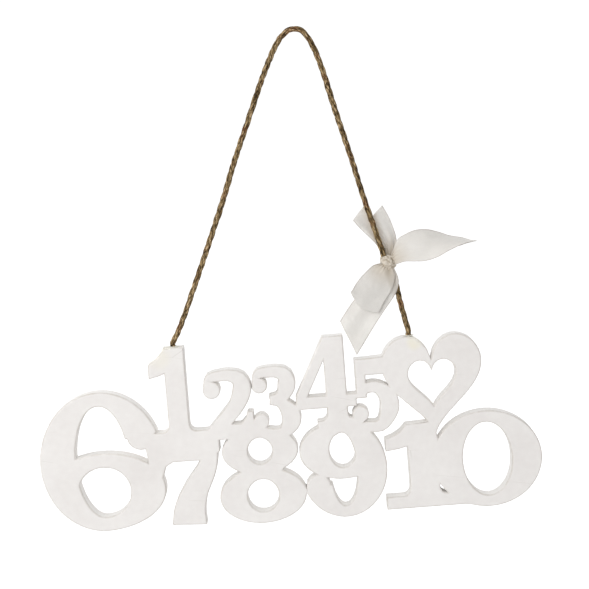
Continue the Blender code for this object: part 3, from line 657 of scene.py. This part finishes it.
def makeTwine():
    chance = random.Random(11)
    line = smoothRoute(twine["route"], twine["spacing"])
    first, last = (line[0] - line[1]).normalized(), (line[-1] - line[-2]).normalized()
    tip, tipSteps = 2.2 * mm, (0.4, 0.65, 0.85, 1)
    line = [line[0] + first * tip * s for s in reversed(tipSteps)] + line
    line = line + [line[-1] + last * tip * s for s in tipSteps]
    for i, point in enumerate(line):
        free = min(1.0, i / twine["settled"], (len(line) - 1 - i) / twine["settled"])
        t = i / twine["drift"]
        drift = Vector((noise.noise(Vector((t, 1.5, 0))), noise.noise(Vector((t, 9.5, 0))), 0))
        line[i] = point + drift * twine["wander"] * free
    mesh = bmesh.new()
    twistPlies(mesh, line, roundedTip, 0.0)
    for _ in range(hairs["count"]):
        i = chance.randrange(hairs["clear"], len(line) - hairs["clear"])
        along = (line[i + 1] - line[i]).normalized()
        angle = chance.uniform(0, 2 * math.pi)
        side = along.cross(toBack).normalized()
        out = side * math.cos(angle) + toBack * math.sin(angle)
        root = line[i] + out * hairs["root"] * mm
        length = chance.uniform(*hairs["length"]) * mm
        thick = chance.uniform(*hairs["thick"]) * mm
        addFibre(mesh, root, out, along, length, thick, chance)
    piece = finishTwine(mesh, "jute_twine", "twine")
    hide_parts("hanging_twine")
    return piece, line


def makeGluedEnds():
    across = toBack.cross(boardUp)
    radius, rimRise = gluedEnd["grooveRadius"] * mm, gluedEnd["rise"] * mm
    for side, mouth in exits.items():
        foot = mouth - boardUp * gluedEnd["deep"] * mm
        head = mouth + boardUp * gluedEnd["rise"] * mm
        line = smoothRoute([foot, foot.lerp(head, 0.5), head], twine["spacing"])
        mesh = bmesh.new()
        twistPlies(mesh, line, lambda distance, whole: gluedEnd["width"], 0.3 if side == "left" else 0.7)
        for vert in mesh.verts:  # the top is a groove in line with the swing, so that it fits the twine's tip
            rise, aside = (vert.co - mouth).dot(boardUp), (vert.co - mouth).dot(across)
            if rise > 0:
                top = gluedEnd["grooveTop"] * mm - math.sqrt(max(0.0, radius**2 - aside**2))
                vert.co += boardUp * rise * (min(top, gluedEnd["tallest"] * mm) / rimRise - 1)
        end = finishTwine(mesh, f"{side}_glued_twine", "board")
        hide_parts(f"{side}_twine_end")


makeGluedEnds()
twinePiece, twineLine = makeTwine()
print("twine twisted:", len(twinePiece.data.polygons), "faces")


# The glue round each end: the turned plug, made uneven above the board as it set


glueShape = {
    "wobble": 0.7 * mm, "lumps": 420, "fixedBelow": 0.1 * mm, "fixedWithin": 2.5 * mm, "creep": 0.2 * mm,
    "creepAbove": 0.5 * mm, "collar": 0.35 * mm, "sunk": 0.6,
}


def makeGlue():
    for side, mouth in exits.items():
        data = nodes[f"{side}_glue_plug"].data.copy()
        plug = addPiece(f"{side}_set_glue", data, "board", glue)
        weldFaces(plug)
        bpy.ops.mesh.subdivide(number_cuts=1)
        bpy.ops.object.mode_set(mode="OBJECT")
        for vert in plug.data.vertices:
            rise = (vert.co - mouth).dot(boardUp)
            off = vert.co - mouth - boardUp * rise
            if rise > glueShape["collar"]:  # the collar sinks to a low film
                vert.co -= boardUp * (rise - glueShape["collar"]) * glueShape["sunk"]
            if rise < glueShape["fixedBelow"] or off.length < glueShape["fixedWithin"]:
                continue
            x, y, _ = vert.co
            uneven = noise.noise(Vector((x * glueShape["lumps"], y * glueShape["lumps"], 5.0)))
            vert.co += off.normalized() * abs(uneven) * glueShape["wobble"]
            if rise > glueShape["creepAbove"]:
                vert.co += boardUp * abs(uneven) * glueShape["creep"]
        plug.data.shade_smooth()
        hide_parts(f"{side}_glue_plug")


makeGlue()
print("glue set")


# The painted board: the sawn outline with its edges sanded round


boardFinish = {
    "flatAngle": math.radians(0.4), "wander": 0.10 * mm, "wanderScale": 70, "softness": 0.6 * mm, "segments": 3,
    "sharp": math.radians(28), "slimmest": 5.0 * mm, "leastShare": 0.15, "sampleStep": 1 * mm, "opposed": -0.5,
    "normalWeight": 60, "wallBelow": 0.3, "edgeWearShade": (0.12, 0.97),
}


# Gives each sharp edge its share of the rounding, less where the wood is slim between two sawn sides
def weighEdges(board):
    mesh = bmesh.new()
    mesh.from_mesh(board.data)
    weight = mesh.edges.layers.float.new("bevel_weight_edge")
    samples = []
    for edge in mesh.edges:
        if len(edge.link_faces) < 2 or edge.calc_face_angle() < boardFinish["sharp"]:
            continue
        edge[weight] = 1.0
        start, end = edge.verts[0].co, edge.verts[1].co
        if abs(start.y - end.y) > boardFinish["sampleStep"]:  # it runs from the front to the back
            continue
        wall = min(edge.link_faces, key=lambda face: abs(face.normal.y))
        steps = max(1, int((end - start).length / boardFinish["sampleStep"]))
        for i in range(steps):
            samples.append((edge, start.lerp(end, (i + 0.5) / steps), wall.normal.copy()))
    tree = KDTree(len(samples))
    for i, (_, place, _) in enumerate(samples):
        tree.insert(place, i)
    tree.balance()
    slimmest, opposed = boardFinish["slimmest"], boardFinish["opposed"]
    for edge, place, facing in samples:
        for found, i, wide in tree.find_range(place, slimmest):
            if samples[i][2].dot(facing) < opposed and (found - place).dot(facing) < opposed * wide:
                edge[weight] = min(edge[weight], max(boardFinish["leastShare"], wide / slimmest))
    mesh.to_mesh(board.data)
    mesh.free()


def makeBoard():
    board = addPiece("painted_board", nodes["sign_board"].data.copy(), "board", paint)
    weldFaces(board)
    bpy.ops.mesh.dissolve_limited(angle_limit=boardFinish["flatAngle"])
    bpy.ops.object.mode_set(mode="OBJECT")
    for vert in board.data.vertices:
        place = vert.co * boardFinish["wanderScale"]
        vert.co.x += noise.noise(Vector((place.x, 0.0, place.z))) * boardFinish["wander"]
        vert.co.z += noise.noise(Vector((place.x, 8.0, place.z))) * boardFinish["wander"]
    weighEdges(board)
    board.data.shade_smooth()
    applyModifier(
        board, "BEVEL", width=boardFinish["softness"], segments=boardFinish["segments"],
        limit_method="WEIGHT", use_clamp_overlap=False,
    )
    board.data.shade_smooth()
    applyModifier(board, "WEIGHTED_NORMAL", weight=boardFinish["normalWeight"], keep_sharp=False)
    sawn = board.data.attributes.new("sawnWall", "FLOAT", "FACE")
    edgeWearShade = board.data.attributes.new("wornShadedEdge", "FLOAT", "FACE")
    least, most = boardFinish["edgeWearShade"]
    # Faces where the edges round over take the darker edge colour: wear and painted shade
    for face in board.data.polygons:
        facing = abs(face.normal.y)
        sawn.data[face.index].value = 1.0 if facing < boardFinish["wallBelow"] else 0.0
        edgeWearShade.data[face.index].value = 1.0 if least < facing < most else 0.0
    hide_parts("sign_board")
    return board


board = makeBoard()
print("board painted:", len(board.data.polygons), "faces")


# Thin glue that ran over the board's top edge beside each hole: middle, half length and greatest thickness in mm,
# half turn over the edge in degrees, and the side it leans to (minus is the front). The film's depths are in mm.


glueRuns = {
    "left": {"middle": -96.0, "half": 11.0, "turn": 72, "lean": -16, "thick": 0.3, "seed": 3.0},
    "right": {"middle": 91.0, "half": 7.6, "turn": 84, "lean": -24, "thick": 0.5, "seed": 8.0},
}
glueFilm = {
    "rows": 64, "columns": 48, "sweep": 128, "away": 8, "below": 2, "lumps": 520, "fineLumps": 1300,
    "level": 0.62, "uneven": 0.75, "lowest": -0.12, "thickness": 0.25 * mm,
}


def makeGlueRuns():
    surfaceTree = BVHTree.FromObject(board, bpy.context.evaluated_depsgraph_get())
    rows, columns, sweep, away = (glueFilm[key] for key in ("rows", "columns", "sweep", "away"))
    for side, run in glueRuns.items():
        mesh = bmesh.new()
        grid = []
        for i in range(rows + 1):
            u = 2 * i / rows - 1
            x = (run["middle"] + u * run["half"]) * mm
            top = surfaceTree.ray_cast(Vector((x, -4 * mm, -0.2)), Vector((0, 0, -1)))[0].z
            row = []
            for j in range(columns + 1):
                v = 2 * j / columns - 1
                turn = math.radians(v * sweep)
                height = top - glueFilm["below"] * mm + math.cos(turn) * away * mm
                place, facing, _, _ = surfaceTree.find_nearest(Vector((x, math.sin(turn) * away * mm, height)))
                lumps = noise.noise(place * glueFilm["lumps"] + Vector((0, 0, run["seed"])))
                lumps += 0.5 * noise.noise(place * glueFilm["fineLumps"])
                past = math.hypot(u, (v * sweep - run["lean"]) / run["turn"])
                thick = run["thick"] * (glueFilm["level"] - past**2 + glueFilm["uneven"] * lumps)
                row.append(mesh.verts.new(place + facing * max(glueFilm["lowest"], thick) * mm))
            grid.append(row)
        for low, high in zip(grid, grid[1:]):
            for j in range(columns):
                mesh.faces.new((low[j], high[j], high[j + 1], low[j + 1]))
        name = f"{side}_glue_run"
        film = addPiece(name, finishMesh(mesh, name), "board", glue)
        film.data.shade_smooth()
        applyModifier(film, "SOLIDIFY", thickness=glueFilm["thickness"], offset=-1.0, use_rim=True)


makeGlueRuns()
print("glue runs laid")


# The bow. A station of a strip is its middle x, y, z from the knot's middle in mm, its width in mm, the lean of
# the crossing line from X towards Z and its roll towards the back in degrees, the share of the soft fold, and
# how far its middle bulges past its edges in mm. The widths and sizes without mm are in mm too, and settled is
# counted in rows.


bow = {
    "middle": Vector((69.15 * mm, 0, -175.99 * mm)),
    "up": Vector((-0.31336, 0, 0.94963)),
    "ribbonWidth": 25.0,
    "thickness": 0.3 * mm,
    "rows": 110,
    "columns": 64,
    "pleats": 5,
    "pleatDepth": 0.75,
    "pleatWidths": (8, 24),
    "crumple": 0.55,
    "crumpleSize": 9,
    "fineCrumple": 0.14,
    "fineSize": 3.5,
    "settled": 12,
}

bowStrips = {
    "ribbon_tail_upper": {
        "stations": [
            (2.0, 3.6, 2.2, 7, 0, 0, 0.1, 0), (2.2, 4.8, 9.4, 12, 10, 0, 0.4, 0),
            (0.4, 5.4, 15.6, 16.4, 14, 0, 0.8, 0),
            (-3.2, 5.8, 22.0, 20.2, 17, 0, 1.0, 0), (-8.0, 5.8, 29.0, 23.4, 22, 0, 0.8, 0),
            (-13.6, 5.6, 36.9, 25, 27, 0, 0.5, 0),
        ],
        "fold": (1.6, 1.5), "cut": [(-1, 0), (0.0, 5.6), (0.13, -3.9), (1, 0)],
    },
    "ribbon_loop_right": {
        "stations": [
            (3.6, -1.8, 1.6, 7, 86, 2, 0.1, 0), (7.6, -3.4, 7.8, 18.4, 88, 4, 0.3, 0),
            (14.3, -4.8, 11.5, 21.0, 88, 8, 0.7, 0), (20.8, -5.4, 13.0, 23.6, 90, 13, 1.0, 0),
            (27.2, -5.6, 13.7, 25, 92, 22, 1.0, 0), (35.3, -5.4, 14.7, 25, 94, 38, 0.9, 0),
            (45.0, -4.8, 16.0, 25, 97, 65, 0.5, 0), (56.4, -3.8, 16.9, 24, 100, 83, 0.15, 0),
            (62.8, -3.2, 17.0, 22, 100, 91, 0.0, 0), (66.6, -2.9, 16.7, 20, 100, 95, 0.0, 0),
            (67.2, -2.6, 16.5, 20, 100, 95, 0.0, 0), (66.6, -2.3, 16.3, 20, 100, 95, 0.0, 0),
            (62.8, -2.0, 16.4, 22, 100, 90, 0.0, 0), (56.4, -1.0, 16.2, 24, 100, 83, 0.1, 0),
            (45.0, 0.6, 15.0, 24.5, 97, 66, 0.4, 0), (35.3, 2.6, 13.7, 24.5, 94, 41, 0.7, 0),
            (27.2, 3.6, 12.9, 24, 92, 26, 0.9, 0), (20.8, 3.8, 12.2, 21.5, 90, 16, 0.9, 0),
            (14.3, 3.5, 10.4, 18.5, 88, 8, 0.7, 0), (7.6, 2.9, 6.6, 14, 87, 2, 0.4, 0),
            (3.6, 1.6, 1.4, 6, 86, 0, 0.1, 0),
        ],
        "fold": (1.1, 0.9), "cut": [],
    },
    "ribbon_loop_left": {
        "stations": [
            (0.6, -3.0, -1.4, 8, -16, 0, 0.1, 0), (-1.6, -5.2, -5.6, 18.4, -25, 5, 0.4, 0),
            (-6.8, -6.8, -14.6, 24.8, -29, 8, 0.5, 0.6), (-12.2, -7.2, -22.4, 25.8, -33, 9, 0.3, 2.4),
            (-15.4, -6.8, -28.8, 27.0, -37, 10, 0.1, 4.4), (-15.9, -5.9, -29.6, 27.4, -38, 11, 0.0, 4.8),
            (-15.4, -5.2, -28.8, 27.0, -37, 11, 0.2, 4.4), (-12.0, -5.1, -22.2, 24.5, -31, 9, 0.4, 2.2),
            (-6.6, -5.0, -14.6, 19.5, -27, 6, 0.4, 0.6), (-2.2, -4.4, -7.0, 12, -24, 2, 0.3, 0),
            (0.6, -2.3, -1.6, 6, -20, 0, 0.1, 0),
        ],
        "fold": (1.3, 0.9), "cut": [],
    },
    "ribbon_tail_lower": {
        "stations": [
            (3.0, -2.4, -2.8, 7, -22, 0, 0.1, 0), (3.2, -3.2, -10.4, 14.4, -26, 0, 0.2, 0),
            (-1.2, -3.1, -18.8, 19.4, -29, 0, 0.4, 0), (-10.8, -2.4, -30.6, 22.8, -30.5, 0, 0.9, 0),
            (-18.2, -1.4, -41.3, 24, -30.5, 0, 1.0, 0), (-28.0, -0.6, -57.7, 24.4, -30.5, 0, 0.6, 0),
        ],
        "fold": (1.5, 0.8), "cut": [(-1, -7.8), (1, 8.0)],
    },
}


# The stations' numbers on a smooth line, in even steps
def smoothStations(stations, rows):
    fineSteps = 12
    ends = [[2 * a - b for a, b in zip(stations[0], stations[1])], *stations,
            [2 * a - b for a, b in zip(stations[-1], stations[-2])]]
    fine = []
    for quad in zip(ends, ends[1:], ends[2:], ends[3:]):
        for step in range(fineSteps):
            t = step / fineSteps
            fine.append([
                (2 * b + (c - a) * t + (2 * a - 5 * b + 4 * c - d) * t * t + (3 * b - a - 3 * c + d) * t**3) / 2
                for a, b, c, d in zip(*quad)
            ])
    fine.append(list(stations[-1]))
    reach = [0.0]
    for p, q in zip(fine, fine[1:]):
        reach.append(reach[-1] + math.dist(p[:3], q[:3]))
    line, i = [], 0
    for n in range(rows):
        wanted = reach[-1] * n / (rows - 1)
        while i < len(fine) - 2 and reach[i + 1] < wanted:
            i += 1
        share = (wanted - reach[i]) / (reach[i + 1] - reach[i])
        line.append([a + (b - a) * share for a, b in zip(fine[i], fine[i + 1])])
    return line, reach[-1]


def softStep(low, high, value):
    t = max(0.0, min(1.0, (value - low) / (high - low)))
    return t * t * (3 - 2 * t)


# How far past its last row the strip's cut end reaches at t across it; minus falls short
def cutAt(cut, t):
    for (t0, far0), (t1, far1) in zip(cut, cut[1:]):
        if t <= t1:
            return far0 + (far1 - far0) * (t - t0) / (t1 - t0)
    return 0.0


def layStrip(name, shape, surface):
    rows, length = smoothStations(shape["stations"], bow["rows"])
    folds, foldDepth = shape["fold"]
    beside = toBack.cross(bow["up"])
    full, columns, deepest = bow["ribbonWidth"], bow["columns"], bow["pleatDepth"]
    mesh = bmesh.new()
    flat = mesh.loops.layers.uv.new("ribbonFlat")
    mesh.verts.layers.float.new("gatheredAndShaded")
    creaseShade = mesh.verts.layers.float.new("creaseShade")
    gatherShade = mesh.verts.layers.float["gatheredAndShaded"]
    grid, laid = [], {}
    for i, (x, y, z, width, lean, roll, share, bulge) in enumerate(rows):
        lean, roll = math.radians(lean), math.radians(roll)
        across = Vector((math.cos(lean) * math.cos(roll), math.sin(roll), math.sin(lean) * math.cos(roll)))
        down = Vector((math.sin(lean), 0, -math.cos(lean)))
        before, after = Vector(rows[max(0, i - 1)][:3]), Vector(rows[min(len(rows) - 1, i + 1)][:3])
        tangent = (after - before).normalized()
        out = tangent.cross(across).normalized()
        spare = math.sqrt(max(0.0, full**2 - width**2)) / (4 * bow["pleats"])
        depth = min(deepest, deepest * spare) * (1 - softStep(*bow["pleatWidths"], width))
        row = []
        for j in range(columns + 1):
            t = 2 * j / columns - 1
            uneven = 0.2 * math.sin(2.3 * t + 1.1 + i * 0.006) + 0.06 * math.sin(7 * t + i * 0.03)
            wave = math.cos(2 * math.pi * bow["pleats"] * (t + uneven) / 2 + 0.4)
            pleat = depth * wave * (0.7 + 0.6 * noise.noise(Vector((3 * t, i * 0.02, len(shape["stations"])))))
            fold = foldDepth * share * math.cos(math.pi * folds * t + 0.02 * i)
            place = Vector((x, y, z)) + across * (t * width / 2) + down * bulge * (1 - t * t)
            crumple = bow["crumple"] * noise.noise(place / bow["crumpleSize"])
            crumple += bow["fineCrumple"] * noise.noise(place / bow["fineSize"])
            place = place + out * (pleat + fold + crumple * min(1.0, i / bow["settled"]))
            place = place + tangent * cutAt(shape["cut"], t) * (i / (len(rows) - 1)) ** 4
            vert = mesh.verts.new(bow["middle"] + place * mm)
            off = abs(place.dot(beside))
            # Painted shade of the twine on the strip where it lies close behind it
            twineShade = (1 - softStep(2, 7, off)) if y > 3 and z > 0 else 0.0
            over = (1 - softStep(1.5, 4.5, off)) if y < 0 and z < 0 else 0.0
            # Darker and warmer toward the knot, with painted shade in the pleat valleys
            near = 0.9 * (1 - softStep(4, 24, place.length)) + 0.3 * depth * max(0.0, -wave)
            vert[gatherShade] = max(near, 0.6 * twineShade)
            # Painted shade in the pleat valleys, and darker where the twine runs close behind the front cloth
            vert[creaseShade] = 0.5 * max(0.0, -wave - 0.2) * depth + 0.26 * over
            laid[vert] = (t * full / 2 * mm, length * i / (len(rows) - 1) * mm)
            row.append(vert)
        grid.append(row)
    for low, high in zip(grid, grid[1:]):
        for j in range(columns):
            face = mesh.faces.new((low[j], low[j + 1], high[j + 1], high[j]))
            for loop in face.loops:
                loop[flat].uv = laid[loop.vert]
    strip = addPiece(name, finishMesh(mesh, name), "bow", surface)
    strip.data.shade_smooth()
    applyModifier(strip, "SOLIDIFY", thickness=bow["thickness"], offset=0.0, use_rim=True)
    return strip


knotShape = {
    "segments": (176, 80), "width": 10.8 * mm, "depth": 11 * mm, "height": 12.4 * mm, "aside": 2.1 * mm,
    "bore": 2.62 * mm, "upperShare": 0.8, "boreShare": 0.94, "beltTilt": 28.0, "beltHalf": 3.6 * mm,
    "beltRise": 0.7 * mm, "pleat": 0.42 * mm, "ridge": 0.3 * mm, "ridgeEvery": 2.9 * mm, "crumple": 0.8 * mm,
    "crumpleSize": 2.6 * mm, "fineSize": 1.1 * mm, "roughSize": 3.4 * mm,
}


# The knot: a torus pulled to size, gathered into pleats along the twine, with the crossing wrap as a belt
def makeKnot(surface):
    bpy.ops.object.select_all(action="DESELECT")
    major, minor = knotShape["segments"]
    bpy.ops.mesh.primitive_torus_add(
        major_segments=major, minor_segments=minor, major_radius=1.0, minor_radius=0.5, location=(0, 0, 0)
    )
    torus = bpy.context.active_object
    up = bow["up"]
    side = toBack.cross(up).normalized()
    tilt = math.radians(knotShape["beltTilt"])
    bore, beltHalf = knotShape["bore"], knotShape["beltHalf"]
    creaseShades = []
    for vert in torus.data.vertices:
        angle = math.atan2(vert.co.y, vert.co.x)
        ring = math.hypot(vert.co.x, vert.co.y) - 1.0
        turn = math.atan2(vert.co.z, ring)
        outer = max(0.0, math.cos(turn))
        wide = math.hypot(knotShape["width"] / 2 * math.cos(angle), knotShape["depth"] / 2 * math.sin(angle))
        reach = bore + (wide - bore) * outer**0.7
        height = knotShape["height"] / 2 * math.sin(turn)
        height *= 1.0 if outer > 0 else knotShape["boreShare"]
        height *= knotShape["upperShare"] if turn > 0 else 1.0
        aside = knotShape["aside"] * outer**0.5
        place = Vector((reach * math.cos(angle) + aside, reach * math.sin(angle), height))
        along = place.z * math.cos(tilt) + place.x * math.sin(tilt)
        belt = 1 - softStep(0.7 * beltHalf, 1.1 * beltHalf, abs(along))
        rough = noise.noise(place / knotShape["roughSize"])
        pleat = math.cos(10 * angle + 2.5 * math.sin(place.z / mm / 2.6) + 4 * rough) * (1 - belt)
        ridgeTurn = 2 * math.pi * along / knotShape["ridgeEvery"] + 1.8 * math.sin(2 * angle) + 6 * rough
        ridge = math.cos(ridgeTurn) * belt
        crumple = noise.noise(place / knotShape["crumpleSize"])
        crumple += 0.35 * noise.noise(place / knotShape["fineSize"])
        rise = knotShape["beltRise"] * (belt - 0.6) + knotShape["pleat"] * pleat + knotShape["ridge"] * ridge
        rise = (rise + knotShape["crumple"] * crumple) * outer**0.5
        place += Vector((math.cos(angle), math.sin(angle), 0)) * rise
        vert.co = bow["middle"] + side * place.x + toBack * place.y + up * place.z
        # Painted shade in the knot's fold valleys and crumple hollows, with a little everywhere
        creaseShades.append(max(0.0, min(0.75, 0.14 - 0.36 * (pleat + ridge) - crumple)))
    torus.data.name = "ribbon_knot"
    knot = addPiece("ribbon_knot", torus.data.copy(), "bow", surface)
    bpy.data.objects.remove(torus)
    gatherShade = knot.data.attributes.new("gatheredAndShaded", "FLOAT", "POINT")
    creaseShade = knot.data.attributes.new("creaseShade", "FLOAT", "POINT")
    # The whole knot takes the darker, warmer gathered tone, and its folds carry painted shade
    for i, deep in enumerate(creaseShades):
        gatherShade.data[i].value = 0.9
        creaseShade.data[i].value = deep
    flat = knot.data.uv_layers.new(name="ribbonFlat")
    for loop in knot.data.loops:
        place = knot.data.vertices[loop.vertex_index].co - bow["middle"]
        flat.data[loop.index].uv = (place.dot(side) * 0.9, place.dot(up))
    knot.data.shade_smooth()
    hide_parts("bow_knot")


def makeBow():
    surface = sheerRibbon()
    makeKnot(surface)
    for name, shape in bowStrips.items():
        strip = layStrip(name, shape, surface)
        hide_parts(name.replace("ribbon", "bow"))
        print("ribbon laid:", name, len(strip.data.polygons), "faces")


makeBow()

print("sign complete")
